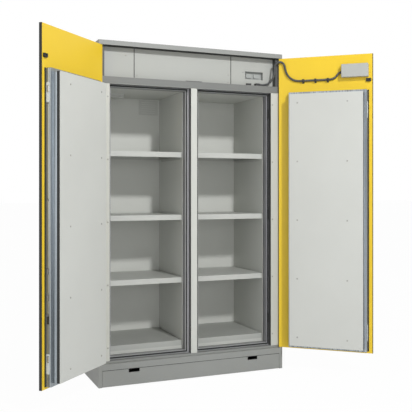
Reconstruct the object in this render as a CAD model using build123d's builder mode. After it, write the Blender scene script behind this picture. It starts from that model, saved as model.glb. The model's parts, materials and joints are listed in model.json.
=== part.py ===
"""Two-door fire-resisting battery cabinet, wing doors open, with a technical fascia above the doors.

X runs to the right, Y to the back and Z up, in millimetres. The origin is on the floor, at the
middle of the cabinet's footprint. Door pieces are drawn in the door's own frame: x from the pivot
towards the free edge, depth from the pivot plane towards the inside, z up.
"""
import math
import os

from build123d import *

os.makedirs("parts", exist_ok=True)

# ---- driving dimensions ---------------------------------------------------------------------
WIDTH = 1193.0              # outside width of the body
DEPTH = 615.0               # outside depth, closed doors included
HEIGHT = 2010.0             # floor to top of the cornice
SHEET = 1.5                 # body and door steel
LINER = 1.2                 # lining and shelf sheet

BASE_H = 98.0               # base with pallet truck bays
BASE_POST = 20.5            # width of the base's side beams
BASE_BEAM = 60.0            # width of the middle beam
BAND_TOP = 134.0            # top of the band under the doors
CORNICE_H = 27.0            # height of the roof cap
FRONT_STEP = 21.5           # body front lies this far behind the door's outer face

DOOR_BOTTOM = 138.0
DOOR_TOP_GAP = 2.0          # door to cornice
DOOR_MEET_GAP = 3.0         # between the two free edges
PAN_DEPTH = 15.5            # thickness of the painted door pan
EDGE_GAP = 2.5              # door's hinge edge inside the body's side plane
PIVOT_IN = 7.5              # pivot from the door's hinge edge
PIVOT_BACK = 5.5            # pivot behind the door's outer face
PIN_R = 3.5
PIN_FIT = 0.05              # radial play of pivots, spindle and lock plug
PIN_REACH = 24.0            # pivot pin inside the door pan
LEFT_OPEN = 134.1           # degrees from closed, as stored
RIGHT_OPEN = 138.0

JAMB_OUTER_X = 526.0        # outer wall of the first rebate
JAMB_CENTRE_X = 20.0        # half width of the centre post
STRIP_X = 580.0             # outer edge of the front strips
REBATE_STEP = 14.0          # width of the ledge at the hinge side
CENTRE_STEP = 22.0          # width of the ledge at the centre post
REBATE_1 = 39.0             # depth of the first rebate
REBATE_2 = 47.0             # depth of the second rebate
OPEN_RISE = 12.0            # first rebate's lower edge above the band
STEP_BOTTOM = 16.0
STEP_TOP = 14.0

LEAF_HINGE_GAP = 3.5        # leaf to jamb at the hinge side
LEAF_FREE_GAP = 12.0        # leaf to centre post, room for the swing
LEAF_Z_GAP = 4.0            # leaf to jamb above and below
LEAF_1 = 32.0               # depth of the leaf's base step
LEAF_2 = 43.0               # depth of the leaf's inner step
LEAF_HINGE_STEP = 15.0
LEAF_FREE_STEP = 19.5
LEAF_SEAL_DEPTH = 17.0
LEAF_SEAL_T = 3.0
PANEL_T = 2.0
CORNER_R = 4.0

FASCIA_H = 179.0            # fascia under the roof cap
RAIL_H = 42.0               # head rail over the openings
FASCIA_BACK = 38.0          # fascia behind the body front
FASCIA_X = 558.0
FASCIA_SEAMS = (-368.0, 262.0)
FASCIA_GAP = 2.0
WINDOW_X = (361.0, 487.0)   # terminal recess
WINDOW_RISE = 42.0          # recess above the ledge
WINDOW_H = 50.0
WINDOW_DEPTH = 24.0

INNER_X = 508.0             # lining at the outer side
PARTITION_X = 46.0          # half thickness of the partition
BACK_Y = 250.0              # lining at the back
FLOOR_Z = 164.0
CEILING_DROP = 11.2         # ceiling below the first rebate's top
ROOF_BOARD_T = 86.0

SHELF_TOPS = (602.0, 989.0, 1376.0)
SHELF_LIP = 32.0
SHELF_PLAY = 3.0
TRAY_TOP = 213.0
RAIL_LEG = 14.0
RAIL_LENGTH = 380.0

SCREW_R = 5.0
SCREW_H = 2.0
SCREW_END = 76.0            # first screw from the opening's lower and upper edge
BOLT_END = (144.0, 112.0)   # latch bolts from the lower and upper edge
BOLT_SIZE = (12.0, 30.0)    # depth and height of a latch bolt
BOLT_LENGTH = 44.0
BOLT_THROW = 16.0
BOLT_PLAY = 1.0

CABLE_R = 7.0
CLIP_PLAY = 0.3

# ---- derived places -------------------------------------------------------------------------
SIDE_X = WIDTH / 2
FRONT_Y = -DEPTH / 2
REAR_Y = DEPTH / 2
BODY_Y = FRONT_Y + FRONT_STEP
ROOF_Z = HEIGHT - CORNICE_H
LEDGE_Z = ROOF_Z - FASCIA_H
OPEN_TOP = LEDGE_Z - RAIL_H                  # first rebate, upper edge
OPEN_BOTTOM = BAND_TOP + OPEN_RISE           # first rebate, lower edge
CEILING_Z = OPEN_TOP - CEILING_DROP
WINDOW = (*WINDOW_X, LEDGE_Z + WINDOW_RISE, LEDGE_Z + WINDOW_RISE + WINDOW_H)
SCREW_PITCH = (OPEN_TOP - OPEN_BOTTOM - 2 * SCREW_END) / 4
SCREW_ROWS = tuple(OPEN_BOTTOM + SCREW_END + SCREW_PITCH * i for i in range(5))
BOLT_ROWS = (OPEN_BOTTOM + BOLT_END[0], OPEN_TOP - BOLT_END[1])
LEDGE_1_Y = BODY_Y + REBATE_1
LINING_Y = LEDGE_1_Y + REBATE_2
FASCIA_Y = BODY_Y + FASCIA_BACK
JAMB_OUTER_2 = JAMB_OUTER_X - REBATE_STEP
JAMB_CENTRE_2 = JAMB_CENTRE_X + CENTRE_STEP
PIVOT_X = SIDE_X - EDGE_GAP - PIVOT_IN
PIVOT_Y = FRONT_Y + PIVOT_BACK
SHEET_IN = PAN_DEPTH - PIVOT_BACK            # inner face of the door pan, from the pivot plane
DOOR_TOP = ROOF_Z - DOOR_TOP_GAP
DOOR_FREE = PIVOT_X - DOOR_MEET_GAP / 2
EDGE_STRIP = 3.0                             # rubber on the free edge
LEAF_A = (PIVOT_X - JAMB_OUTER_X + LEAF_HINGE_GAP, PIVOT_X - JAMB_CENTRE_X - LEAF_FREE_GAP,
          OPEN_BOTTOM + LEAF_Z_GAP, OPEN_TOP - LEAF_Z_GAP)
LEAF_B = (LEAF_A[0] + LEAF_HINGE_STEP, LEAF_A[1] - LEAF_FREE_STEP,
          LEAF_A[2] + STEP_BOTTOM + 2, LEAF_A[3] - STEP_TOP - 2)
DEP_1 = SHEET_IN + LEAF_1
DEP_2 = DEP_1 + LEAF_2
SIDES = {"left": (-1, LEFT_OPEN), "right": (1, RIGHT_OPEN)}


def save(part, label):
    """Name the finished piece and write it."""
    part.label = label
    export_step(part, f"parts/{label}.step")


def door_axes(name):
    """Pivot point, direction along the open door and inward normal."""
    side, opened = SIDES[name]
    a = math.radians(opened)
    along = Vector(-side * math.cos(a), -math.sin(a), 0)
    inward = Vector(-side * math.sin(a), math.cos(a), 0)
    return side, Vector(side * PIVOT_X, PIVOT_Y, 0), along, inward


def door_plane(name, depth):
    """Plane parallel to the door: x along it, y up, lying at a depth from the pivot."""
    side, pivot, along, inward = door_axes(name)
    return Plane(origin=pivot + inward * depth, x_dir=along, z_dir=inward * side)


def slab(name, x0, x1, z0, z1, d0, d1, mode=Mode.ADD, radius=0.0):
    """A rectangle of the door extruded from one depth to another."""
    side = SIDES[name][0]
    with BuildSketch(door_plane(name, d0)) as outline:
        with Locations(((x0 + x1) / 2, (z0 + z1) / 2)):
            if radius:
                RectangleRounded(x1 - x0, z1 - z0, radius)
            else:
                Rectangle(x1 - x0, z1 - z0)
    extrude(outline.sketch, amount=side * (d1 - d0), mode=mode)


def block(x0, x1, y0, y1, z0, z1, mode=Mode.ADD):
    """A box between two corners of the cabinet."""
    with Locations(((x0 + x1) / 2, (y0 + y1) / 2, (z0 + z1) / 2)):
        Box(x1 - x0, y1 - y0, z1 - z0, mode=mode)


def folded(points, thickness):
    """Closed outline of a folded sheet: the line itself and its offset to the left, mitred."""
    shifted = []
    for i, (x, y) in enumerate(points):
        before = points[max(i - 1, 0)] if i else None
        after = points[i + 1] if i + 1 < len(points) else None
        normals = []
        for a, b in ((before, (x, y)), ((x, y), after)):
            if a is None or b is None:
                continue
            run = math.dist(a, b)
            normals.append(((a[1] - b[1]) / run, (b[0] - a[0]) / run))
        nx = sum(n[0] for n in normals)
        ny = sum(n[1] for n in normals)
        scale = thickness * len(normals) / (nx * nx + ny * ny)
        shifted.append((x + nx * scale, y + ny * scale))
    return list(points) + shifted[::-1]


# ---- base -----------------------------------------------------------------------------------
COVER_GAP = 1.5
COVER_DEPTH = 20.0
COVER_RISE = 3.0            # gap under and over the cover
COVER_Z = (COVER_RISE, BASE_H - COVER_RISE)
COVER_SEAT = 0.3
HAND_SLOT = (385.0, 66.0, 20.0)              # distance from the middle, width, height
COVER_X = SIDE_X - BASE_POST - COVER_GAP
BEAM_FRONT = FRONT_Y + COVER_DEPTH + COVER_SEAT

with BuildPart() as base_frame:
    inner = SIDE_X - BASE_POST
    deck = BASE_H - SHEET
    for side in (-1, 1):
        x0, x1 = sorted((side * inner, side * SIDE_X))
        block(x0, x1, FRONT_Y, REAR_Y, 0, deck)
    block(-inner, inner, REAR_Y - BASE_POST, REAR_Y, 0, deck)
    block(-BASE_BEAM / 2, BASE_BEAM / 2, BEAM_FRONT, REAR_Y - BASE_POST, 0, deck)
    block(-SIDE_X, SIDE_X, FRONT_Y, REAR_Y, deck, BASE_H)
save(base_frame.part, "base_frame")

with BuildPart() as plinth_cover:
    z0, z1 = COVER_Z
    block(-COVER_X, COVER_X, FRONT_Y, FRONT_Y + COVER_DEPTH, z0, z1)
    block(-COVER_X + SHEET, COVER_X - SHEET, FRONT_Y + SHEET, FRONT_Y + COVER_DEPTH,
          z0 + SHEET, z1 - SHEET, Mode.SUBTRACT)
    for side in (-1, 1):
        x = side * HAND_SLOT[0]
        block(x - HAND_SLOT[1] / 2, x + HAND_SLOT[1] / 2, FRONT_Y, FRONT_Y + COVER_DEPTH,
              z1 - HAND_SLOT[2], z1, Mode.SUBTRACT)
save(plinth_cover.part, "plinth_cover")

with BuildPart() as base_band:
    block(-SIDE_X, SIDE_X, FRONT_Y, BODY_Y, BASE_H, BAND_TOP)
    block(-SIDE_X + SHEET, SIDE_X - SHEET, FRONT_Y + SHEET, BODY_Y, BASE_H + SHEET,
          BAND_TOP - SHEET, Mode.SUBTRACT)
    block(-STRIP_X, STRIP_X, BODY_Y, BODY_Y + SHEET, BAND_TOP - SHEET, OPEN_BOTTOM - SHEET)
save(base_band.part, "base_band")

# ---- outer skin -----------------------------------------------------------------------------
SIDE_FOLD = SIDE_X - STRIP_X - 1.0

with BuildPart() as side_sheets:
    for side in (-1, 1):
        line = [(side * (SIDE_X - SIDE_FOLD), BODY_Y), (side * SIDE_X, BODY_Y),
                (side * SIDE_X, REAR_Y - SHEET)]
        with BuildSketch(Plane.XY.offset(BASE_H)):
            Polygon(*folded(line, SHEET * side), align=None)
        extrude(amount=ROOF_Z - BASE_H)
save(side_sheets.part, "side_sheets")

with BuildPart() as back_sheet:
    block(-SIDE_X, SIDE_X, REAR_Y - SHEET, REAR_Y, BASE_H, ROOF_Z)
save(back_sheet.part, "back_sheet")

DUCT_R = 37.5
DUCT_WALL = 2.0
DUCT_Y = 180.0
DUCT_RISE = 60.0
DUCT_FLANGE = 18.0

with BuildPart() as roof_cap:
    block(-SIDE_X, SIDE_X, FRONT_Y, REAR_Y, ROOF_Z, HEIGHT)
    fillet(roof_cap.edges().filter_by(Axis.Z), radius=2.0)
    block(-SIDE_X + SHEET, SIDE_X - SHEET, FRONT_Y + SHEET, REAR_Y - SHEET, ROOF_Z + SHEET,
          HEIGHT - SHEET, Mode.SUBTRACT)
    block(-SIDE_X + 12, SIDE_X - 12, FASCIA_Y + SHEET, REAR_Y - 12, ROOF_Z, ROOF_Z + SHEET,
          Mode.SUBTRACT)
    with Locations((0, DUCT_Y, HEIGHT)):
        Cylinder(DUCT_R + DUCT_WALL + 0.5, 3 * SHEET, mode=Mode.SUBTRACT)
    with Locations((-PIVOT_X, PIVOT_Y, ROOF_Z), (PIVOT_X, PIVOT_Y, ROOF_Z)):
        Cylinder(PIN_R + PIN_FIT, 3 * SHEET, mode=Mode.SUBTRACT)
save(roof_cap.part, "roof_cap")

with BuildPart() as exhaust_spigot:
    wall_r = DUCT_R + DUCT_WALL
    with BuildSketch(Plane.XZ):
        with BuildLine():
            Polyline((DUCT_R, HEIGHT), (wall_r + DUCT_FLANGE, HEIGHT), (wall_r + DUCT_FLANGE, HEIGHT + SHEET),
                     (wall_r, HEIGHT + SHEET), (wall_r, HEIGHT + DUCT_RISE),
                     (DUCT_R, HEIGHT + DUCT_RISE), close=True)
        make_face()
    revolve(axis=Axis.Z)
save(exhaust_spigot.part.moved(Location((0, DUCT_Y, 0))), "exhaust_spigot")

# ---- insulation and lining ------------------------------------------------------------------
BOARD_X = SIDE_X - SHEET
BOARD_FRONT = LINING_Y + 2.0
BOARD_BACK = REAR_Y - SHEET
LINER_X = INNER_X + LINER
LINER_Y = BACK_Y + LINER
BOARD_TOP = CEILING_Z + LINER + ROOF_BOARD_T

with BuildPart() as side_boards:
    for side in (-1, 1):
        x0, x1 = sorted((side * LINER_X, side * BOARD_X))
        block(x0, x1, BOARD_FRONT, BOARD_BACK, BASE_H, CEILING_Z + LINER)
save(side_boards.part, "side_boards")

with BuildPart() as back_board:
    block(-LINER_X, LINER_X, LINER_Y, BOARD_BACK, BASE_H, CEILING_Z + LINER)
save(back_board.part, "back_board")

with BuildPart() as roof_board:
    block(-BOARD_X, BOARD_X, BOARD_FRONT, BOARD_BACK, CEILING_Z + LINER, BOARD_TOP)
save(roof_board.part, "roof_board")

with BuildPart() as floor_board:
    block(-LINER_X, LINER_X, BOARD_FRONT, LINER_Y, BASE_H, FLOOR_Z - LINER)
save(floor_board.part, "floor_board")

with BuildPart() as compartment_liners:
    for side in (-1, 1):
        inner = side * PARTITION_X
        outer = side * INNER_X
        back = sorted((inner, outer))
        cover = sorted((inner, side * LINER_X))
        wall = sorted((outer, side * LINER_X))
        block(*wall, LINING_Y, LINER_Y, FLOOR_Z, CEILING_Z)
        block(*back, BACK_Y, LINER_Y, FLOOR_Z, CEILING_Z)
        block(*cover, LINING_Y, LINER_Y, CEILING_Z, CEILING_Z + LINER)
        block(*cover, LINING_Y, LINER_Y, FLOOR_Z - LINER, FLOOR_Z)
save(compartment_liners.part, "compartment_liners")

with BuildPart() as partition:
    block(-PARTITION_X, PARTITION_X, LINING_Y, LINER_Y, FLOOR_Z, CEILING_Z)
    fillet(partition.edges().filter_by(Axis.Z).group_by(Axis.Y)[0], radius=1.0)
save(partition.part, "partition")

# ---- stepped door frame ---------------------------------------------------------------------
with BuildPart() as outer_jambs:
    for side in (-1, 1):
        line = [(side * STRIP_X, BODY_Y + 12), (side * STRIP_X, BODY_Y),
                (side * JAMB_OUTER_X, BODY_Y), (side * JAMB_OUTER_X, LEDGE_1_Y),
                (side * JAMB_OUTER_2, LEDGE_1_Y), (side * JAMB_OUTER_2, LINING_Y)]
        with BuildSketch(Plane.XY.offset(OPEN_BOTTOM)):
            Polygon(*folded(line, -SHEET * side), align=None)
        extrude(amount=OPEN_TOP - OPEN_BOTTOM)
save(outer_jambs.part, "outer_jambs")

with BuildPart() as centre_jamb:
    half = [(JAMB_CENTRE_X, BODY_Y), (JAMB_CENTRE_X, LEDGE_1_Y), (JAMB_CENTRE_2, LEDGE_1_Y),
            (JAMB_CENTRE_2, LINING_Y)]
    line = [(-x, y) for x, y in half[::-1]] + half
    with BuildSketch(Plane.XY.offset(OPEN_BOTTOM)):
        Polygon(*folded(line, SHEET), align=None)
    extrude(amount=OPEN_TOP - OPEN_BOTTOM)
    bolt_y = PIVOT_Y + SHEET_IN + LEAF_1 / 2
    for z in BOLT_ROWS:
        block(-JAMB_CENTRE_X, JAMB_CENTRE_X, bolt_y - BOLT_SIZE[0] / 2 - 2,
              bolt_y + BOLT_SIZE[0] / 2 + 2, z - BOLT_SIZE[1] / 2 - 3, z + BOLT_SIZE[1] / 2 + 3,
              Mode.SUBTRACT)
save(centre_jamb.part, "centre_jamb")


def cross_bar(side, z_outer, step, up):
    """One stepped bar of the frame, above or below an opening."""
    outer = sorted((side * JAMB_CENTRE_X, side * JAMB_OUTER_X))
    inner = sorted((side * JAMB_CENTRE_2, side * JAMB_OUTER_2))
    z_inner = z_outer - up * step
    z_out = sorted((z_outer, z_outer + up * SHEET))
    z_in = sorted((z_inner, z_inner + up * SHEET))
    z_ledge = sorted((z_inner, z_outer + up * SHEET))
    block(*outer, BODY_Y, LEDGE_1_Y, *z_out)
    block(*inner, LEDGE_1_Y, LEDGE_1_Y + SHEET, *z_ledge)
    block(*inner, LEDGE_1_Y, LINING_Y, *z_in)


with BuildPart() as cross_jambs:
    for side in (-1, 1):
        cross_bar(side, OPEN_TOP, STEP_TOP, 1)
        cross_bar(side, OPEN_BOTTOM, STEP_BOTTOM, -1)
save(cross_jambs.part, "cross_jambs")

SEAL_T = 4.0
SEAL_W = 8.0
SEAL_EDGE = 3.0
KEEPER_ROWS = (OPEN_BOTTOM + 174, (OPEN_BOTTOM + OPEN_TOP) / 2 + 31, OPEN_TOP - 132)   # hinge side blocks
KEEPER = (8.0, 4.0, 60.0)

with BuildPart() as frame_seals:
    for side in (-1, 1):
        x0 = JAMB_CENTRE_2 - SEAL_EDGE - SEAL_W
        x1 = JAMB_OUTER_2 + SEAL_EDGE + SEAL_W
        z0 = OPEN_BOTTOM + STEP_BOTTOM - SEAL_EDGE - SEAL_W
        z1 = OPEN_TOP - STEP_TOP + SEAL_EDGE + SEAL_W
        with BuildSketch(Plane.XZ.offset(-LEDGE_1_Y)):
            with Locations((side * (x0 + x1) / 2, (z0 + z1) / 2)):
                Rectangle(x1 - x0, z1 - z0)
                Rectangle(x1 - x0 - 2 * SEAL_W, z1 - z0 - 2 * SEAL_W, mode=Mode.SUBTRACT)
        extrude(amount=SEAL_T)
    y1 = LEDGE_1_Y - SEAL_T
    for side in (-1, 1):
        edge = JAMB_OUTER_2 + SEAL_EDGE
        x0, x1 = sorted((side * edge, side * (edge + KEEPER[0])))
        for z in KEEPER_ROWS:
            block(x0, x1, y1 - KEEPER[1], y1, z - KEEPER[2] / 2, z + KEEPER[2] / 2)
save(frame_seals.part, "frame_seals")

# ---- head rail, fascia and what sits on the ledge --------------------------------------------
with BuildPart() as head_rail:
    line = [(BODY_Y, OPEN_TOP + SHEET), (BODY_Y, LEDGE_Z), (FASCIA_Y, LEDGE_Z),
            (FASCIA_Y, LEDGE_Z - 14)]
    with BuildSketch(Plane.YZ.offset(-STRIP_X)):
        Polygon(*folded(line, -SHEET), align=None)
    extrude(amount=2 * STRIP_X)
save(head_rail.part, "head_rail")

FASCIA_EDGES = (-FASCIA_X,) + FASCIA_SEAMS + (FASCIA_X,)
for number, name in enumerate(("fascia_left", "fascia_middle", "fascia_right")):
    x0 = FASCIA_EDGES[number] + FASCIA_GAP / 2
    x1 = FASCIA_EDGES[number + 1] - FASCIA_GAP / 2
    with BuildPart() as fascia:
        block(x0, x1, FASCIA_Y, FASCIA_Y + 12, LEDGE_Z, ROOF_Z)
        block(x0 + SHEET, x1 - SHEET, FASCIA_Y + SHEET, FASCIA_Y + 12, LEDGE_Z + SHEET,
              ROOF_Z - SHEET, Mode.SUBTRACT)
        if name == "fascia_right":
            block(WINDOW[0], WINDOW[1], FASCIA_Y, FASCIA_Y + 12, WINDOW[2], WINDOW[3],
                  Mode.SUBTRACT)
    save(fascia.part, name)

with BuildPart() as terminal_recess:
    x0, x1, z0, z1 = WINDOW
    back = FASCIA_Y + SHEET + WINDOW_DEPTH
    block(x0 - 6, x1 + 6, FASCIA_Y + SHEET, FASCIA_Y + 2 * SHEET, z0 - 6, z1 + 6)
    block(x0 - SHEET, x1 + SHEET, FASCIA_Y + 2 * SHEET, back, z0 - SHEET, z1 + SHEET)
    block(x0, x1, FASCIA_Y + SHEET, back - SHEET, z0, z1, Mode.SUBTRACT)
    with Locations((x0 + 34, back - SHEET - 4, (z0 + z1) / 2), (x0 + 88, back - SHEET - 4, (z0 + z1) / 2)):
        Box(40, 8, 26)
save(terminal_recess.part, "terminal_recess")

with BuildPart() as fascia_pillars:
    for side in (-1, 1):
        line = [(side * FASCIA_X, FASCIA_Y + 12), (side * FASCIA_X, BODY_Y),
                (side * (SIDE_X - SIDE_FOLD), BODY_Y)]
        with BuildSketch(Plane.XY.offset(LEDGE_Z)):
            Polygon(*folded(line, SHEET * side), align=None)
        extrude(amount=ROOF_Z - LEDGE_Z)
save(fascia_pillars.part, "fascia_pillars")

CABLE_Y = BODY_Y + 18.0
CABLE_Z = LEDGE_Z + 8.0
GLAND_X = (425.0, 452.0)

with BuildPart() as head_fittings:
    block(-52, 52, BODY_Y + 1, BODY_Y + 25, LEDGE_Z, LEDGE_Z + 3)
    block(362, 392, BODY_Y + 10, BODY_Y + 26, LEDGE_Z, LEDGE_Z + 13)
    block(GLAND_X[0], GLAND_X[1] - 8, CABLE_Y - 10, FASCIA_Y, LEDGE_Z, CABLE_Z + CABLE_R + 1)
    with Locations(Plane(origin=(GLAND_X[1] - 8, CABLE_Y, CABLE_Z), z_dir=(1, 0, 0))):
        Cylinder(CABLE_R, 8, align=(Align.CENTER, Align.CENTER, Align.MIN))
save(head_fittings.part, "head_fittings")

# ---- shelves --------------------------------------------------------------------------------
SHELF_Y = (LINING_Y + 2.0, BACK_Y - 5.0)


def pan(side, z0, z1, opens):
    """A folded tray with its mouth up (1) or down (-1) between the partition and the lining."""
    x0, x1 = sorted((side * (PARTITION_X + SHELF_PLAY), side * (INNER_X - SHELF_PLAY)))
    block(x0, x1, *SHELF_Y, z0, z1)
    low = z0 + LINER if opens > 0 else z0
    high = z1 if opens > 0 else z1 - LINER
    block(x0 + LINER, x1 - LINER, SHELF_Y[0] + LINER, SHELF_Y[1] - LINER, low, high, Mode.SUBTRACT)


for name, (side, _) in SIDES.items():
    for number, top in enumerate(SHELF_TOPS, start=1):
        with BuildPart() as shelf:
            pan(side, top - SHELF_LIP, top, -1)
            fillet(shelf.edges().filter_by(Axis.X).group_by(Axis.Z)[-1].sort_by(Axis.Y)[0], radius=1.0)
        save(shelf.part, f"shelf_{name}_{number}")

with BuildPart() as sump_trays:
    for side in (-1, 1):
        pan(side, FLOOR_Z, TRAY_TOP - SHELF_LIP, 1)
save(sump_trays.part, "sump_trays")

with BuildPart() as tray_inserts:
    for side in (-1, 1):
        pan(side, TRAY_TOP - SHELF_LIP, TRAY_TOP, -1)
save(tray_inserts.part, "tray_inserts")

with BuildPart() as shelf_rails:
    y0 = (SHELF_Y[0] + SHELF_Y[1] - RAIL_LENGTH) / 2
    for side in (-1, 1):
        for wall, inward in ((PARTITION_X, 1), (INNER_X, -1)):
            for top in SHELF_TOPS:
                z = top - SHELF_LIP
                x = side * wall
                line = [(x, z - RAIL_LEG), (x, z), (x + side * inward * RAIL_LEG, z)]
                with BuildSketch(Plane.XZ.offset(-y0)):
                    Polygon(*folded(line, -SHEET * side * inward), align=None)
                extrude(amount=-RAIL_LENGTH)
save(shelf_rails.part, "shelf_rails")

CEILING_UNIT = (-440.0, -350.0, 40.0, 130.0, 24.0)   # x, y and height
VENT_PLATE = (-190.0, -58.0, CEILING_Z - 106, CEILING_Z - 8, 3.0)   # x, z and thickness

with BuildPart() as ceiling_unit:
    x0, x1, y0, y1, h = CEILING_UNIT
    block(x0, x1, y0, y1, CEILING_Z - h, CEILING_Z)
    fillet(ceiling_unit.edges().filter_by(Axis.Z), radius=6)
    block(x0 + 12, x1 - 12, y0 - 1, y0 + 6, CEILING_Z - h + 7, CEILING_Z - h + 12, Mode.SUBTRACT)
save(ceiling_unit.part, "ceiling_unit")

with BuildPart() as vent_plate:
    x0, x1, z0, z1, t = VENT_PLATE
    block(x0, x1, BACK_Y - t, BACK_Y, z0, z1)
    for i in range(6):
        z = z0 + (z1 - z0) * (i + 1) / 7
        block(x0 + 18, x1 - 18, BACK_Y - t, BACK_Y, z - 2, z + 2, Mode.SUBTRACT)
save(vent_plate.part, "vent_plate")

STRIP_SCREW_X = 537.0

with BuildPart() as frame_screws:
    for side in (-1, 1):
        for z in SCREW_ROWS:
            with Locations(Plane(origin=(side * STRIP_SCREW_X, BODY_Y, z), z_dir=(0, -1, 0))):
                Cylinder(SCREW_R, SCREW_H, align=(Align.CENTER, Align.CENTER, Align.MIN))
    for x, rise in ((-420, 136), (-352, 20), (244, 64), (244, 16), (346, 86)):
        with Locations(Plane(origin=(x, FASCIA_Y, LEDGE_Z + rise), z_dir=(0, -1, 0))):
            Cylinder(SCREW_R, SCREW_H, align=(Align.CENTER, Align.CENTER, Align.MIN))
save(frame_screws.part, "frame_screws")

WASHER_R = 5.4
WASHER_T = DOOR_BOTTOM - BAND_TOP - 0.3

with BuildPart() as hinge_pins:
    for side in (-1, 1):
        with Locations((side * PIVOT_X, PIVOT_Y, DOOR_TOP - PIN_REACH)):
            Cylinder(PIN_R, PIN_REACH + DOOR_TOP_GAP + SHEET,
                     align=(Align.CENTER, Align.CENTER, Align.MIN))
        with Locations((side * PIVOT_X, PIVOT_Y, ROOF_Z + SHEET)):
            Cylinder(PIN_R + 0.4, 4, align=(Align.CENTER, Align.CENTER, Align.MIN))
        with Locations((side * PIVOT_X, PIVOT_Y, BAND_TOP)):
            Cylinder(PIN_R, DOOR_BOTTOM - BAND_TOP + PIN_REACH,
                     align=(Align.CENTER, Align.CENTER, Align.MIN))
            Cylinder(WASHER_R, WASHER_T, align=(Align.CENTER, Align.CENTER, Align.MIN))
save(hinge_pins.part, "hinge_pins")

# ---- doors ----------------------------------------------------------------------------------
PAN_X = (-PIVOT_IN, DOOR_FREE - EDGE_STRIP)
PAN_OUT = -PIVOT_BACK
CORE_X = PIN_R + 5.0
HANDLE_X = 545.0
HANDLE_Z = 1085.0
PLUG_Z = HANDLE_Z - 75.0
SPINDLE_R = 5.0
PLUG_R = 8.0
PLATE = (44.0, 190.0, 8.0)
RELEASE_Z = 486.0
RELEASE = (12.0, 38.0, 9.0)                  # depth, height, length into the edge
RELEASE_TRAVEL = 12.0
CATCH = (545.0, 575.0, LEDGE_Z + 5, LEDGE_Z + 26, 11.0)
EDGE_MARKS = ((OPEN_TOP - 184, 9.0), (1092.0, 12.0), (734.0, 32.0), (602.0, 30.0), (OPEN_BOTTOM + 73, 9.0))
LOCK_DEP = SHEET_IN + LEAF_1 / 2             # middle of the leaf's edge


def edge_pocket(name, z, height, width, reach):
    """Cut a slot into the free edge of the leaf."""
    slab(name, LEAF_A[1] - reach, LEAF_A[1] + 1, z - height / 2, z + height / 2,
         LOCK_DEP - width / 2, LOCK_DEP + width / 2, Mode.SUBTRACT)


def edge_pockets(name):
    """All slots of the free edge: latch bolts, marks and, on the left leaf, the release."""
    for z in BOLT_ROWS:
        edge_pocket(name, z, BOLT_SIZE[1] + 2 * BOLT_PLAY, BOLT_SIZE[0] + 2 * BOLT_PLAY,
                    BOLT_LENGTH + 2)
    for z, height in EDGE_MARKS:
        edge_pocket(name, z, height, 9.0, 10.0)
    if name == "left":
        edge_pocket(name, RELEASE_Z + RELEASE_TRAVEL / 2, RELEASE[1] + RELEASE_TRAVEL + 2,
                    RELEASE[0] + 2 * BOLT_PLAY, RELEASE[2] + 2)


def round_cut(name, x, z, radius, d0, d1):
    """A round hole through part of the door."""
    with BuildSketch(door_plane(name, d0)) as outline:
        with Locations((x, z)):
            Circle(radius)
    extrude(outline.sketch, amount=SIDES[name][0] * (d1 - d0), mode=Mode.SUBTRACT)


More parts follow.
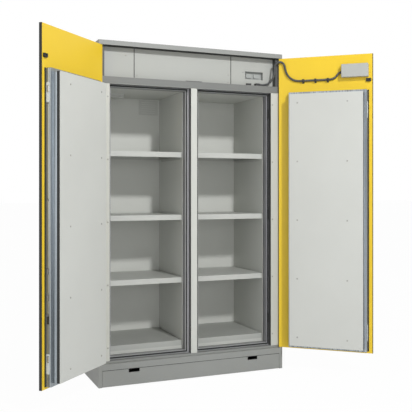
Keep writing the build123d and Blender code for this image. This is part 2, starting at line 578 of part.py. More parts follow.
for name in SIDES:
    side, pivot, along, inward = door_axes(name)
    inset = SHEET

    with BuildPart() as door_skin:
        slab(name, *PAN_X, DOOR_BOTTOM, DOOR_TOP, PAN_OUT, SHEET_IN)
        slab(name, PAN_X[0] + inset, PAN_X[1] - inset, DOOR_BOTTOM + inset, DOOR_TOP - inset,
             PAN_OUT + inset, SHEET_IN - inset, Mode.SUBTRACT)
        for z in (DOOR_BOTTOM, DOOR_TOP):
            with Locations(pivot + Vector(0, 0, z)):
                Cylinder(PIN_R + PIN_FIT, 4 * SHEET, mode=Mode.SUBTRACT)
        if name == "right":
            round_cut(name, HANDLE_X, HANDLE_Z, SPINDLE_R + 1, PAN_OUT - 1, PAN_OUT + 2 * SHEET)
            round_cut(name, HANDLE_X, PLUG_Z, PLUG_R + 1, PAN_OUT - 1, PAN_OUT + 2 * SHEET)
    save(door_skin.part, f"{name}_door_skin")

    with BuildPart() as door_core:
        slab(name, CORE_X, PAN_X[1] - inset, DOOR_BOTTOM + inset, DOOR_TOP - inset,
             PAN_OUT + inset, SHEET_IN - inset)
        if name == "right":
            for z in (HANDLE_Z, PLUG_Z):
                round_cut(name, HANDLE_X, z, PLUG_R + 2, PAN_OUT, SHEET_IN)
        slab(name, LEAF_A[0] + inset, LEAF_A[1] - inset, LEAF_A[2] + inset, LEAF_A[3] - inset,
             SHEET_IN, DEP_1 - inset)
        slab(name, LEAF_B[0] + LEAF_SEAL_T, LEAF_B[1] - LEAF_SEAL_T, LEAF_B[2] + LEAF_SEAL_T,
             LEAF_B[3] - LEAF_SEAL_T, DEP_1 - inset, DEP_2 - PANEL_T)
        edge_pockets(name)
    save(door_core.part, f"{name}_door_core")

    with BuildPart() as leaf_frame:
        seal_start = DEP_2 - PANEL_T - LEAF_SEAL_DEPTH
        slab(name, *LEAF_A, SHEET_IN, DEP_1, radius=CORNER_R)
        slab(name, *LEAF_B, DEP_1, seal_start, radius=CORNER_R)
        slab(name, LEAF_A[0] + inset, LEAF_A[1] - inset, LEAF_A[2] + inset, LEAF_A[3] - inset,
             SHEET_IN, DEP_1 - inset, Mode.SUBTRACT)
        slab(name, LEAF_B[0] + LEAF_SEAL_T, LEAF_B[1] - LEAF_SEAL_T, LEAF_B[2] + LEAF_SEAL_T,
             LEAF_B[3] - LEAF_SEAL_T, DEP_1 - inset, seal_start, Mode.SUBTRACT)
        edge_pockets(name)
    save(leaf_frame.part, f"{name}_leaf_frame")

    with BuildPart() as leaf_seal:
        slab(name, *LEAF_B, DEP_2 - PANEL_T - LEAF_SEAL_DEPTH, DEP_2 - PANEL_T, radius=CORNER_R)
        slab(name, LEAF_B[0] + LEAF_SEAL_T, LEAF_B[1] - LEAF_SEAL_T, LEAF_B[2] + LEAF_SEAL_T,
             LEAF_B[3] - LEAF_SEAL_T, DEP_2 - PANEL_T - LEAF_SEAL_DEPTH, DEP_2 - PANEL_T,
             Mode.SUBTRACT)
    save(leaf_seal.part, f"{name}_leaf_seal")

    with BuildPart() as leaf_panel:
        slab(name, *LEAF_B, DEP_2 - PANEL_T, DEP_2, radius=CORNER_R)
    save(leaf_panel.part, f"{name}_leaf_panel")

    with BuildPart() as door_screws:
        with BuildSketch(door_plane(name, DEP_2)):
            with Locations(*[(x, z) for x in (LEAF_B[0] + 50, LEAF_B[1] - 95) for z in SCREW_ROWS]):
                Circle(SCREW_R)
        extrude(amount=side * SCREW_H)
    save(door_screws.part, f"{name}_door_screws")

    with BuildPart() as door_edge:
        slab(name, DOOR_FREE - EDGE_STRIP, DOOR_FREE, DOOR_BOTTOM, DOOR_TOP, PAN_OUT, SHEET_IN)
        x0, x1, z0, z1, t = CATCH
        slab(name, x0, x1, z0, z1, SHEET_IN, SHEET_IN + t, radius=4)
        slab(name, x0 + 8, x1 - 8, z0 + 9, z1 + 1, SHEET_IN + t / 2, SHEET_IN + t, Mode.SUBTRACT)
    save(door_edge.part, f"{name}_door_edge")

    with BuildPart() as latch_bolts:
        for z in BOLT_ROWS:
            slab(name, LEAF_A[1] + 1.5 - BOLT_LENGTH, LEAF_A[1] + 1.5, z - BOLT_SIZE[1] / 2,
                 z + BOLT_SIZE[1] / 2, LOCK_DEP - BOLT_SIZE[0] / 2, LOCK_DEP + BOLT_SIZE[0] / 2)
        nose = latch_bolts.edges().filter_by(Axis.Z).filter_by(
            lambda edge: (edge.center() - pivot).dot(along) > LEAF_A[1])
        chamfer(nose, length=3.5)
    save(latch_bolts.part, f"{name}_latch_bolts")

with BuildPart() as release_slider:
    slab("left", LEAF_A[1] + 1.0 - RELEASE[2], LEAF_A[1] + 1.0, RELEASE_Z - RELEASE[1] / 2,
         RELEASE_Z + RELEASE[1] / 2, LOCK_DEP - RELEASE[0] / 2, LOCK_DEP + RELEASE[0] / 2)
save(release_slider.part, "left_release_slider")

# ---- handle and lock on the right door --------------------------------------------------------
LEVER = (24.0, 150.0, 11.0)                  # width, length, thickness
LEVER_STAND = 16.0

with BuildPart() as handle_plate:
    z_mid = (HANDLE_Z + PLUG_Z) / 2
    slab("right", HANDLE_X - PLATE[0] / 2, HANDLE_X + PLATE[0] / 2, z_mid - PLATE[1] / 2,
         z_mid + PLATE[1] / 2, PAN_OUT - PLATE[2], PAN_OUT, radius=12)
    round_cut("right", HANDLE_X, HANDLE_Z, SPINDLE_R + PIN_FIT, PAN_OUT - PLATE[2] - 1, PAN_OUT + 1)
    round_cut("right", HANDLE_X, PLUG_Z, PLUG_R + PIN_FIT, PAN_OUT - PLATE[2] - 1, PAN_OUT + 1)
save(handle_plate.part, "right_handle_plate")


def rod(name, x, z, radius, d0, d1):
    """A round bar square to the door."""
    with BuildSketch(door_plane(name, d0)) as outline:
        with Locations((x, z)):
            Circle(radius)
    extrude(outline.sketch, amount=SIDES[name][0] * (d1 - d0))


with BuildPart() as handle:
    face = PAN_OUT - PLATE[2]
    rod("right", HANDLE_X, HANDLE_Z, SPINDLE_R, face - 1, SHEET_IN - 4)
    rod("right", HANDLE_X, HANDLE_Z, 15, face - LEVER_STAND, face - 0.3)
    with BuildSketch(door_plane("right", face - LEVER_STAND)):
        with Locations((HANDLE_X, HANDLE_Z - LEVER[1] / 2 + LEVER[0] / 2)):
            SlotOverall(LEVER[1], LEVER[0], rotation=90)
    extrude(amount=-LEVER[2])
    _, pivot, _, inward = door_axes("right")
    lever_face = handle.faces().sort_by_distance(pivot - inward * 4000)[0]
    fillet(lever_face.edges(), radius=2)
save(handle.part, "right_handle")

with BuildPart() as lock_plug:
    face = PAN_OUT - PLATE[2]
    rod("right", HANDLE_X, PLUG_Z, PLUG_R, face - 2, SHEET_IN - 4)
    slab("right", HANDLE_X - 1.2, HANDLE_X + 1.2, PLUG_Z - 5, PLUG_Z + 5, face - 2, face + 3,
         Mode.SUBTRACT)
save(lock_plug.part, "right_lock_plug")

# ---- control box and its cable ----------------------------------------------------------------
BOX = (395.8, 560.0, LEDGE_Z + 34, LEDGE_Z + 115, 35.0)
CABLE_DEP = SHEET_IN + CABLE_R + 1.0

with BuildPart() as control_box:
    x0, x1, z0, z1, t = BOX
    slab("right", x0, x1, z0, z1, SHEET_IN, SHEET_IN + t, radius=5)
    front = control_box.faces().sort_by_distance(
        door_axes("right")[1] + door_axes("right")[3] * 4000)[0]
    fillet(front.edges(), radius=3)
save(control_box.part, "control_box")


def on_door(x, dep, z):
    """A point of the right door as stored."""
    _, pivot, along, inward = door_axes("right")
    return pivot + along * x + inward * dep + Vector(0, 0, z)


LOOP_START = Vector(545, CABLE_Y - 37, 0)
LOOP_SPAN = on_door(31, CABLE_DEP + 1, 0) - LOOP_START
LOOP = ((0.0, 133), (0.19, 149), (0.5, 155), (0.81, 149), (1.0, 133))   # share of span, rise
RUN_Z = LEDGE_Z + 27.0                       # the clipped stretch along the door

CABLE_POINTS = [
    Vector(GLAND_X[1], CABLE_Y, CABLE_Z),
    Vector(486, CABLE_Y, CABLE_Z),
    Vector(517, CABLE_Y - 12, CABLE_Z + 11),
    Vector(535, CABLE_Y - 28, CABLE_Z + 40),
    Vector(542, CABLE_Y - 35, CABLE_Z + 80),
    *[LOOP_START + LOOP_SPAN * share + Vector(0, 0, LEDGE_Z + rise) for share, rise in LOOP],
    on_door(38, CABLE_DEP + 1, RUN_Z + 68),
    on_door(50, CABLE_DEP, RUN_Z + 41),
    on_door(70, CABLE_DEP, RUN_Z + 19),
    on_door(97, CABLE_DEP, RUN_Z + 4),
    on_door(130, CABLE_DEP, RUN_Z),
    on_door(185, CABLE_DEP, RUN_Z + 0.5),
    on_door(270, CABLE_DEP, RUN_Z + 0.2),
    on_door(322, CABLE_DEP, RUN_Z + 0.5),
    on_door(348, CABLE_DEP, RUN_Z + 6),
    on_door(363, CABLE_DEP, RUN_Z + 19),
    on_door(372, CABLE_DEP, RUN_Z + 34),
    on_door(384, CABLE_DEP, RUN_Z + 41),
    on_door(BOX[0], CABLE_DEP, RUN_Z + 41),
]


def corner_radii(points):
    """The largest arc that each corner's shorter run allows."""
    radii = []
    for a, b, c in zip(points, points[1:], points[2:]):
        turn = math.radians((b - a).get_angle(c - b))
        radii.append(0.45 * min((b - a).length, (c - b).length) / math.tan(turn / 2))
    return radii


radii = corner_radii(CABLE_POINTS)
print("cable radii", [round(r) for r in radii])
with BuildPart() as door_cable:
    with BuildLine() as route:
        FilletPolyline(*CABLE_POINTS, radius=radii)
    start = CABLE_POINTS[1] - CABLE_POINTS[0]
    with BuildSketch(Plane(origin=CABLE_POINTS[0], z_dir=start)):
        Circle(CABLE_R)
    sweep()
cable_length = sum(edge.length for edge in route.edges())
print("cable length", round(cable_length), "volume share",
      round(door_cable.part.volume / (math.pi * CABLE_R ** 2 * cable_length), 4))
save(door_cable.part, "door_cable")

CLIP_W = 12.0
CLIP_XS = (152.0, 230.0, 308.0)

with BuildPart() as cable_clips:
    for x in CLIP_XS:
        centre_z = RUN_Z + 0.3
        r_in = CABLE_R + CLIP_PLAY + 0.3
        slab("right", x - CLIP_W / 2, x + CLIP_W / 2, centre_z - r_in - 9, centre_z - r_in - 1,
             SHEET_IN, SHEET_IN + 2)
        slab("right", x - CLIP_W / 2, x + CLIP_W / 2, centre_z - r_in - 2, centre_z + r_in + 2,
             SHEET_IN, CABLE_DEP + r_in + 2)
        slab("right", x - CLIP_W / 2, x + CLIP_W / 2, centre_z - r_in, centre_z + r_in,
             SHEET_IN, CABLE_DEP + r_in, Mode.SUBTRACT)
save(cable_clips.part, "cable_clips")
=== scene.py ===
"""Two-door battery cabinet: finishes, conduit, screw heads and small fittings, in a plain studio."""
import json
import math

import bpy
import numpy as np
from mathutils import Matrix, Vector


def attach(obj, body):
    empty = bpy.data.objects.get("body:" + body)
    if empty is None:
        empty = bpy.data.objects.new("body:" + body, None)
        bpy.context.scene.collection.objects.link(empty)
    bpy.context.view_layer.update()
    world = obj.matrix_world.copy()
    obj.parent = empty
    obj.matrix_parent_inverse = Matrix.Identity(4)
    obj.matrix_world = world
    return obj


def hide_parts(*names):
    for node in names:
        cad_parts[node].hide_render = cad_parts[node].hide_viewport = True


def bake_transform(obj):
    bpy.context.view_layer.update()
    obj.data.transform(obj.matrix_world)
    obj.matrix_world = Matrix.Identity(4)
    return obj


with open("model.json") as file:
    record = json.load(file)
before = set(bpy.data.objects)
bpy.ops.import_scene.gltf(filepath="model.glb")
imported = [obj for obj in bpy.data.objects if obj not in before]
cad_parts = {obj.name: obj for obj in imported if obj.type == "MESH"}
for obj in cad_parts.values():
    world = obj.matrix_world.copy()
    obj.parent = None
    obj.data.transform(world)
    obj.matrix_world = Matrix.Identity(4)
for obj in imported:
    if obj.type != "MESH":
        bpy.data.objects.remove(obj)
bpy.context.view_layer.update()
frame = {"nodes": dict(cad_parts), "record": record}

# ---- places repeated from the part's source, in metres ---------------------------------------
LEDGE = 1.804                                  # top of the head rail
BODY_FRONT = -0.286
FASCIA = -0.248
SHEET_IN = 0.010                               # inner face of the door pan from the pivot plane
PANEL_FACE = 0.085                             # face of the leaf panel from the pivot plane
PIVOT = (0.5865, -0.302)
OPENED = {"left": (-1, math.radians(134.1)), "right": (1, math.radians(138.0))}
CABLE_R = 0.007
CABLE_Y = BODY_FRONT + 0.018
CABLE_Z = LEDGE + 0.008
CABLE_DEP = SHEET_IN + CABLE_R + 0.001
RUN_Z = LEDGE + 0.027
BOX_X = 0.3958                                 # hinge-side end of the control box on the door
BOX_RISE = 0.041                               # where the conduit enters the box, above its level run
LEAF_EDGE, LEAF_EDGE_MID = 0.5545, 0.026       # free edge of the leaf and the middle of its depth
FOOT_X, FOOT_Y = 0.585, 0.300                  # half width and half depth of the footprint
SCREW_R, SCREW_H = 0.005, 0.002
SCREW_ROWS = [0.222 + 0.366 * i for i in range(5)]
X, Y, Z = np.eye(3)


def door_axes(name):
    """Pivot, direction along the open door and its inward normal."""
    side, a = OPENED[name]
    along = np.array([-side * math.cos(a), -math.sin(a), 0.0])
    inward = np.array([-side * math.sin(a), math.cos(a), 0.0])
    return np.array([side * PIVOT[0], PIVOT[1], 0.0]), along, inward


def on_door(name, x, dep, z):
    """Point at x along the door, dep inwards of the pivot plane, z up."""
    pivot, along, inward = door_axes(name)
    return pivot + along * x + inward * dep + np.array([0, 0, z])


# ---- meshes ----------------------------------------------------------------------------------
def quads(rows, cols, wrap):
    """Faces of a rows by cols grid of points; wrap joins the last column to the first."""
    across = cols if wrap else cols - 1
    i, j = np.meshgrid(np.arange(rows - 1), np.arange(across), indexing="ij")
    a, b = i * cols + j, i * cols + (j + 1) % cols
    return np.stack([a, b, b + cols, a + cols], -1).reshape(-1, 4)


def piece(name, points, faces, body, material, smooth=True):
    """A mesh object at the origin from arrays of points and faces, riding on a body."""
    mesh = bpy.data.meshes.new(name)
    mesh.from_pydata(np.asarray(points, float).tolist(), [], [list(map(int, f)) for f in faces])
    mesh.validate()
    mesh.polygons.foreach_set("use_smooth", np.full(len(mesh.polygons), smooth))
    mesh.materials.append(material)
    obj = bpy.data.objects.new(name, mesh)
    bpy.context.scene.collection.objects.link(obj)
    if body:
        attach(obj, body)
    return obj


def turned(radii, heights, sides, centres, u, v, n, dent):
    """Closed turned shapes at several centres.

    A profile of radius against height is carried round the axis n: point = centre + radius *
    (cos angle * u + sin angle * v) + height * n. The first and last radius are 0, one point each.
    dent, a function of the two plane coordinates and the height, is added to the height.
    """
    radii, heights = np.asarray(radii, float), np.asarray(heights, float)
    angle = np.linspace(0, 2 * math.pi, sides, endpoint=False)
    a = radii[1:-1, None] * np.cos(angle)
    b = radii[1:-1, None] * np.sin(angle)
    h = np.broadcast_to(heights[1:-1, None], a.shape)
    h = h + dent(a, b, h)
    ring = a[..., None] * u + b[..., None] * v + h[..., None] * n
    first = heights[0] + dent(np.zeros(1), np.zeros(1), heights[:1])[0]
    one = np.vstack([ring.reshape(-1, 3), first * np.asarray(n), heights[-1] * np.asarray(n)])
    rows = len(radii) - 2
    low = (rows - 1) * sides
    j = np.arange(sides)
    after = (j + 1) % sides
    around = quads(rows, sides, True)[:, ::-1]
    top = np.stack([j, after, np.full(sides, rows * sides)], -1)
    end = np.stack([low + after, low + j, np.full(sides, rows * sides + 1)], -1)
    points, faces = [], []
    for k, centre in enumerate(np.asarray(centres, float)):
        points.append(one + centre)
        for group in (around, top, end):
            faces += (group + k * len(one)).tolist()
    return np.vstack(points), faces


def tube(line, radius, sides, across):
    """A round tube: point = line + radius(along) * (cos angle * side + sin angle * up).

    side is the tangent crossed with a fixed direction that the line never follows, up is side
    crossed with the tangent, and each end closes on one point.
    """
    line = np.asarray(line, float)
    tangent = np.gradient(line, axis=0)
    tangent /= np.linalg.norm(tangent, axis=1)[:, None]
    side = np.cross(tangent, across)
    side /= np.linalg.norm(side, axis=1)[:, None]
    up = np.cross(side, tangent)
    angle = np.linspace(0, 2 * math.pi, sides, endpoint=False)[None, :, None]
    r = np.broadcast_to(radius, (len(line),))[:, None, None]
    ring = line[:, None] + r * (np.cos(angle) * side[:, None] + np.sin(angle) * up[:, None])
    points = np.vstack([ring.reshape(-1, 3), line[:1], line[-1:]])
    rows = len(line)
    j = np.arange(sides)
    faces = [list(f) for f in quads(rows, sides, True)[:, ::-1]]
    faces += [[rows * sides, int(k), int((k + 1) % sides)] for k in j]
    last = (rows - 1) * sides
    faces += [[rows * sides + 1, int(last + (k + 1) % sides), int(last + k)] for k in j]
    return points, faces


# ---- shader arithmetic -----------------------------------------------------------------------
class Value:
    """An output socket that takes part in plain arithmetic; each step adds a Math node."""

    def __init__(self, owner, socket):
        self.owner, self.socket = owner, socket

    def _step(self, operation, a, b):
        return self.owner.node("ShaderNodeMath", {"operation": operation}, {0: a, 1: b})

    def __add__(self, other):
        return self._step("ADD", self, other)

    def __sub__(self, other):
        return self._step("SUBTRACT", self, other)

    def __mul__(self, other):
        return self._step("MULTIPLY", self, other)

    def larger(self, other):
        """The larger of two values."""
        return self._step("MAXIMUM", self, other)

    def beyond(self, limit):
        """1 where the value is farther than a limit from 0, otherwise 0."""
        return self._step("GREATER_THAN", self._step("ABSOLUTE", self, 0.0), limit)

    def between(self, low, high):
        """0 below low, 1 above high and even in between."""
        return self.owner.node("ShaderNodeMapRange", {"clamp": True},
                               {"Value": self, "From Min": low, "From Max": high})


class Nodes:
    """The node tree of a material or a world."""

    def __init__(self, owner):
        owner.use_nodes = True
        self.tree = owner.node_tree

    def node(self, kind, settings=None, inputs=None, out=0):
        """Adds a node; its settings come first, then the values or links of its sockets."""
        made = self.tree.nodes.new(kind)
        for key, value in (settings or {}).items():
            setattr(made, key, value)
        for key, value in (inputs or {}).items():
            if isinstance(value, Value):
                self.tree.links.new(value.socket, made.inputs[key])
            else:
                made.inputs[key].default_value = value
        return Value(self, made.outputs[out]) if made.outputs else None


class Finish(Nodes):
    """One material: a principled shader, the piece's own coordinates and what is added to them."""

    def __init__(self, name, **fixed):
        self.material = bpy.data.materials.new(name)
        super().__init__(self.material)
        self.shader = self.tree.nodes["Principled BSDF"]
        for socket, value in fixed.items():
            self.shader.inputs[socket.replace("_", " ")].default_value = value
        self.place = self.node("ShaderNodeTexCoord", out="Object")

    def noise(self, scale, detail=3.0, rough=0.5, at=None, out="Fac"):
        """Soft cloudy variation between 0 and 1, scale blotches to the metre."""
        return self.node("ShaderNodeTexNoise", None,
                         {"Vector": at or self.place, "Scale": scale, "Detail": detail,
                          "Roughness": rough}, out)

    def stretched(self, x, y, z):
        """The piece's coordinates drawn out along one direction."""
        return self.node("ShaderNodeMapping", None, {"Vector": self.place, "Scale": (x, y, z)})

    def mix(self, share, low, high):
        """Colour low where share is 0 and high where it is 1."""
        pick = self.node("ShaderNodeMix", {"data_type": "RGBA"}, None)
        made = pick.socket.node
        sockets = {s.identifier: s for s in made.inputs}
        self.tree.links.new(share.socket, sockets["Factor_Float"])
        for key, value in (("A_Color", low), ("B_Color", high)):
            if isinstance(value, Value):
                self.tree.links.new(value.socket, sockets[key])
            else:
                sockets[key].default_value = (*value, 1)
        return Value(self, [s for s in made.outputs if s.identifier == "Result_Color"][0])

    def feed(self, socket, value):
        """Links a varying value to the shader."""
        self.tree.links.new(value.socket, self.shader.inputs[socket])

    def relief(self, height, depth, strength=1.0):
        """Small relief of a depth in metres."""
        bump = self.node("ShaderNodeBump", None,
                         {"Height": height, "Distance": depth, "Strength": strength}, "Normal")
        self.feed("Normal", bump)


class Studio(Nodes):
    """The plain surroundings: soft light for the object, and white where they are looked at."""

    def __init__(self, owner):
        super().__init__(owner)
        self.tree.nodes.clear()

    def looked_at(self):
        """1 to the camera, to gloss and through glass, otherwise 0."""
        camera, gloss, glass = (self.node("ShaderNodeLightPath", out=f"Is {ray} Ray")
                                for ray in ("Camera", "Glossy", "Transmission"))
        return camera.larger(gloss).larger(glass)

    def finish(self, output, share, plain, white):
        """Shows plain where share is 0 and white where it is 1."""
        mixed = self.node("ShaderNodeMixShader", None, {0: share, 1: plain, 2: white})
        self.node(output, None, {"Surface": mixed})


def shade(colour, k):
    """A colour made k times as bright."""
    return tuple(min(1.0, c * k) for c in colour)


def powder(name, colour, rough=0.45, drift=0.05, peel=0.00012):
    """Powder coat: fine orange peel, slight cloudiness in tone and gloss."""
    f = Finish(name)
    cloud = f.noise(2.3, 4.0, 0.55)
    speck = f.noise(900.0, 2.0, 0.6)
    tone = f.mix(cloud.between(0.3, 0.7), shade(colour, 1 - drift), shade(colour, 1 + drift * 0.6))
    f.feed("Base Color", f.mix(speck.between(0.35, 0.75) * 0.35, tone, shade(colour, 0.90)))
    f.feed("Roughness", cloud * 0.10 + (rough - 0.05))
    f.relief(f.noise(420.0, 2.0, 0.5), peel)
    return f.material


def zinc(name, colour, rough=0.34, metal=0.75):
    """Galvanised sheet: faint spangle a few millimetres across, bands along the fold and cloudy gloss."""
    f = Finish(name, Metallic=metal)
    grain = f.node("ShaderNodeTexVoronoi", None, {"Vector": f.place, "Scale": 160.0}, "Color")
    spangle = f.node("ShaderNodeSeparateColor", None, {"Color": grain}, "Red")
    line = f.noise(150.0, 2.0, 0.6, f.stretched(1, 1, 0.004))
    tone = f.mix(spangle.between(0.1, 0.9), shade(colour, 0.94), shade(colour, 1.05))
    f.feed("Base Color", f.mix(line.between(0.42, 0.62), tone, shade(colour, 0.45)))
    f.feed("Roughness", spangle * 0.12 + line * 0.10 + (rough - 0.1))
    f.relief(line, 0.00006)
    return f.material


def rubber(name, colour, rough=0.7):
    """Swelling seal strip: drawn profile lines along its length and fine bloom."""
    f = Finish(name)
    bloom = f.noise(35.0, 5.0, 0.65)
    draw = f.noise(320.0, 2.0, 0.5, f.stretched(1, 1, 0.01))
    f.feed("Base Color", f.mix(bloom.between(0.35, 0.8), colour, shade(colour, 1.45)))
    f.feed("Roughness", bloom * 0.2 + (rough - 0.1))
    f.relief(draw, 0.0002)
    return f.material


def moulded(name, colour, rough=0.5, coat=0.0):
    """Moulded plastic: fine spark-eroded texture and slight tone change."""
    f = Finish(name, Coat_Weight=coat)
    cloud = f.noise(14.0, 3.0, 0.5)
    grain = f.noise(1300.0, 2.0, 0.6)
    f.feed("Base Color", f.mix(cloud, shade(colour, 0.93), shade(colour, 1.05)))
    f.feed("Roughness", grain * 0.15 + (rough - 0.07))
    f.relief(grain, 0.00008)
    return f.material


def board(name, colour):
    """Pressed mineral board: chips and fibres in two tones."""
    f = Finish(name)
    chip = f.noise(260.0, 4.0, 0.7)
    f.feed("Base Color", f.mix(chip.between(0.3, 0.7), shade(colour, 0.82), colour))
    f.feed("Roughness", chip * 0.1 + 0.75)
    f.relief(chip, 0.0003)
    return f.material


def steel(name, colour, rough=0.28, metal=0.9):
    """Zinc-plated steel: fine turned or ground lines and slight yellowing."""
    f = Finish(name, Metallic=metal)
    cloud = f.noise(60.0, 3.0, 0.5)
    line = f.noise(900.0, 2.0, 0.5)
    yellowed = (colour[0], colour[1] * 0.98, colour[2] * 0.9)
    f.feed("Base Color", f.mix(cloud.between(0.35, 0.7), colour, yellowed))
    f.feed("Roughness", line * 0.15 + (rough - 0.07))
    f.relief(line, 0.00003)
    return f.material


def jamb(name, face, rebate_shade, ledge):
    """Stepped frame: coated front face, dark side of the first rebate, bare ledge and mid grey second side;
    the dark and mid grey sides are painted shade.

    The steps are told apart by their distance behind the body's front.
    """
    f = Finish(name)
    back = f.node("ShaderNodeSeparateXYZ", None, {"Vector": f.place}, "Y") - BODY_FRONT
    cloud = f.noise(3.0, 4.0, 0.55)
    draw = f.noise(200.0, 2.0, 0.6, f.stretched(1, 1, 0.01))
    # Painted shade: the first rebate's side gets the dark colour, the second side the ledge colour at 0.55,
    # and the part deepest in the dark colour at half.
    tone = f.mix(back.between(0.0008, 0.0012), face, rebate_shade)
    tone = f.mix(back.between(0.0385, 0.0388), tone, ledge)
    tone = f.mix(back.between(0.0408, 0.0412), tone, shade(ledge, 0.55))
    tone = f.mix(back.between(0.0790, 0.0800), tone, shade(rebate_shade, 0.5))
    f.feed("Base Color", f.mix(cloud * 0.12, tone, shade(face, 0.6)))
    f.feed("Roughness", draw * 0.15 + 0.36)
    f.relief(draw, 0.00008)
    return f.material


FINISHES = {
    "body_grey": powder("body_grey_coat", (0.262, 0.270, 0.257), 0.5),
    "light_grey": powder("light_grey_coat", (0.52, 0.53, 0.50), 0.42),
    "shelf_grey": powder("shelf_coat", (0.50, 0.51, 0.48), 0.45),
    "board": board("mineral_board", (0.48, 0.46, 0.42)),
    "laminate": powder("laminate_face", (0.68, 0.69, 0.66), 0.5, 0.03),
    "lining": powder("lining_coat", (0.60, 0.61, 0.575), 0.5, 0.04),
    "door_yellow": powder("door_yellow_coat", (0.84, 0.575, 0.022), 0.40, 0.03, 0.0001),
    "galvanised": zinc("galvanised_sheet", (0.40, 0.44, 0.47)),
    "seal_dark": rubber("swelling_seal_and_painted_shade", (0.014, 0.015, 0.015)),
    "black_plastic": moulded("black_moulding", (0.018, 0.018, 0.019), 0.42),
    "bright_steel": steel("zinc_plated_steel", (0.40, 0.40, 0.39), 0.5),
    "plate_steel": steel("ground_plate", (0.56, 0.62, 0.68), 0.46, 0.3),
    "box_grey": moulded("housing_grey", (0.44, 0.45, 0.42), 0.5),
    "cable_grey": moulded("conduit_grey", (0.060, 0.064, 0.066), 0.38, 0.2),
}

# The fascia coat is the light grey darkened as painted shade from the cornice above.
fascia = powder("fascia_coat_painted_shade", (0.405, 0.415, 0.388), 0.5)
leaf_face = powder("leaf_face_coat", (0.585, 0.595, 0.565), 0.5, 0.03)
SPECIAL = {
    # The middle colour of each frame, and the darker copies made from it and from the ledge, are painted
    # shade on the rebate sides.
    "centre_jamb": jamb("post_frame", (0.56, 0.57, 0.53), (0.10, 0.10, 0.105), (0.50, 0.50, 0.52)),
    "outer_jambs": jamb("side_frame", (0.55, 0.56, 0.52), (0.045, 0.045, 0.047), (0.42, 0.42, 0.45)),
    "cross_jambs": jamb("cross_frame", (0.27, 0.28, 0.27), (0.24, 0.245, 0.24), (0.40, 0.41, 0.41)),
    # Painted shade: the pillars are made near black for the shadow on their inner returns.
    "fascia_pillars": powder("pillar_painted_shade", (0.075, 0.078, 0.076), 0.55),
    "fascia_left": fascia,
    "fascia_middle": fascia,
    "fascia_right": fascia,
    "head_rail": powder("rail_coat", (0.165, 0.171, 0.163), 0.5),
    "terminal_recess": powder("recess_coat", (0.35, 0.365, 0.35), 0.45),
    "tray_inserts": powder("tray_coat", (0.40, 0.41, 0.385), 0.5),
    "left_leaf_panel": leaf_face,
    "right_leaf_panel": leaf_face,
    "exhaust_spigot": zinc("spigot_zinc", (0.62, 0.64, 0.66), 0.4),
}

for row in frame["record"]["subparts"]:
    node = frame["nodes"][row["node"]]
    finish = SPECIAL.get(row["node"], FINISHES[row["material_slot"]])
    for place in node.material_slots:
        place.material = finish
    if not node.material_slots:
        node.data.materials.append(finish)

# ---- the conduit between the cabinet's head and the right door ---------------------------------
CABLE_POINTS = [(0.452, CABLE_Y, CABLE_Z), (0.486, CABLE_Y, CABLE_Z),
                (0.517, CABLE_Y - 0.012, CABLE_Z + 0.011), (0.535, CABLE_Y - 0.028, CABLE_Z + 0.040),
                (0.542, CABLE_Y - 0.035, CABLE_Z + 0.080)]
LOOP_START = np.array([0.545, CABLE_Y - 0.037, 0.0])
LOOP_SPAN = on_door("right", 0.031, CABLE_DEP + 0.001, 0) - LOOP_START
CABLE_POINTS += [tuple(LOOP_START + LOOP_SPAN * share + np.array([0, 0, LEDGE + rise]))
                 for share, rise in ((0, 0.133), (0.19, 0.149), (0.5, 0.155), (0.81, 0.149), (1, 0.133))]
CABLE_POINTS += [tuple(on_door("right", x, CABLE_DEP + more, RUN_Z + rise)) for x, more, rise in
                 ((0.038, 0.001, 0.068), (0.050, 0, 0.041), (0.070, 0, 0.019), (0.097, 0, 0.004),
                  (0.130, 0, 0), (0.185, 0, 0.0005), (0.270, 0, 0.0002), (0.322, 0, 0.0005),
                  (0.348, 0, 0.006), (0.363, 0, 0.019), (0.372, 0, 0.034), (0.384, 0, BOX_RISE),
                  (BOX_X, 0, BOX_RISE))]


def route(points, step):
    """Points read from a smooth spline that has the given control points, evened out to one step."""
    curve = bpy.data.curves.new("conduit_route", "CURVE")
    curve.dimensions = "3D"
    curve.resolution_u = 24
    spline = curve.splines.new("NURBS")
    spline.points.add(len(points) - 1)
    spline.points.foreach_set("co", np.hstack([np.array(points), np.ones((len(points), 1))]).ravel())
    spline.order_u = 3
    spline.use_endpoint_u = True
    holder = bpy.data.objects.new("conduit_route", curve)
    bpy.context.scene.collection.objects.link(holder)
    bpy.context.view_layer.update()
    mesh = bpy.data.meshes.new_from_object(holder)
    line = np.array([v.co for v in mesh.vertices])
    bpy.data.objects.remove(holder)
    bpy.data.curves.remove(curve)
    bpy.data.meshes.remove(mesh)
    at = np.r_[0, np.cumsum(np.linalg.norm(np.diff(line, axis=0), axis=1))]
    even = np.linspace(0, at[-1], int(at[-1] / step) + 1)
    return np.stack([np.interp(even, at, line[:, k]) for k in range(3)], -1), at[-1]


RIB_PITCH = 0.0034
line, length = route(CABLE_POINTS, RIB_PITCH / 5)
along_line = np.linspace(0, length, len(line))
ribbed = CABLE_R * (0.93 + 0.07 * np.clip(1.6 * np.cos(2 * math.pi * along_line / RIB_PITCH), -1, 1))
points, faces = tube(line, ribbed, 14, door_axes("right")[2])
conduit = piece("conduit", points, faces, None, FINISHES["cable_grey"])
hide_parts("door_cable")
tuple(LOOP_START + LOOP_SPAN + np.array([0, 0, LEDGE]))
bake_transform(conduit)

# ---- screw heads -----------------------------------------------------------------------------
def cross_recess(a, b, h):
    """A cross pressed into the head: the height drops within the half width of either arm."""
    inside = (np.hypot(a, b) < 0.0029) & (h > 0.0004)
    arm = np.clip((0.0009 - np.minimum(abs(a), abs(b))) / 0.0005, 0, 1)
    return -0.0009 * inside * arm


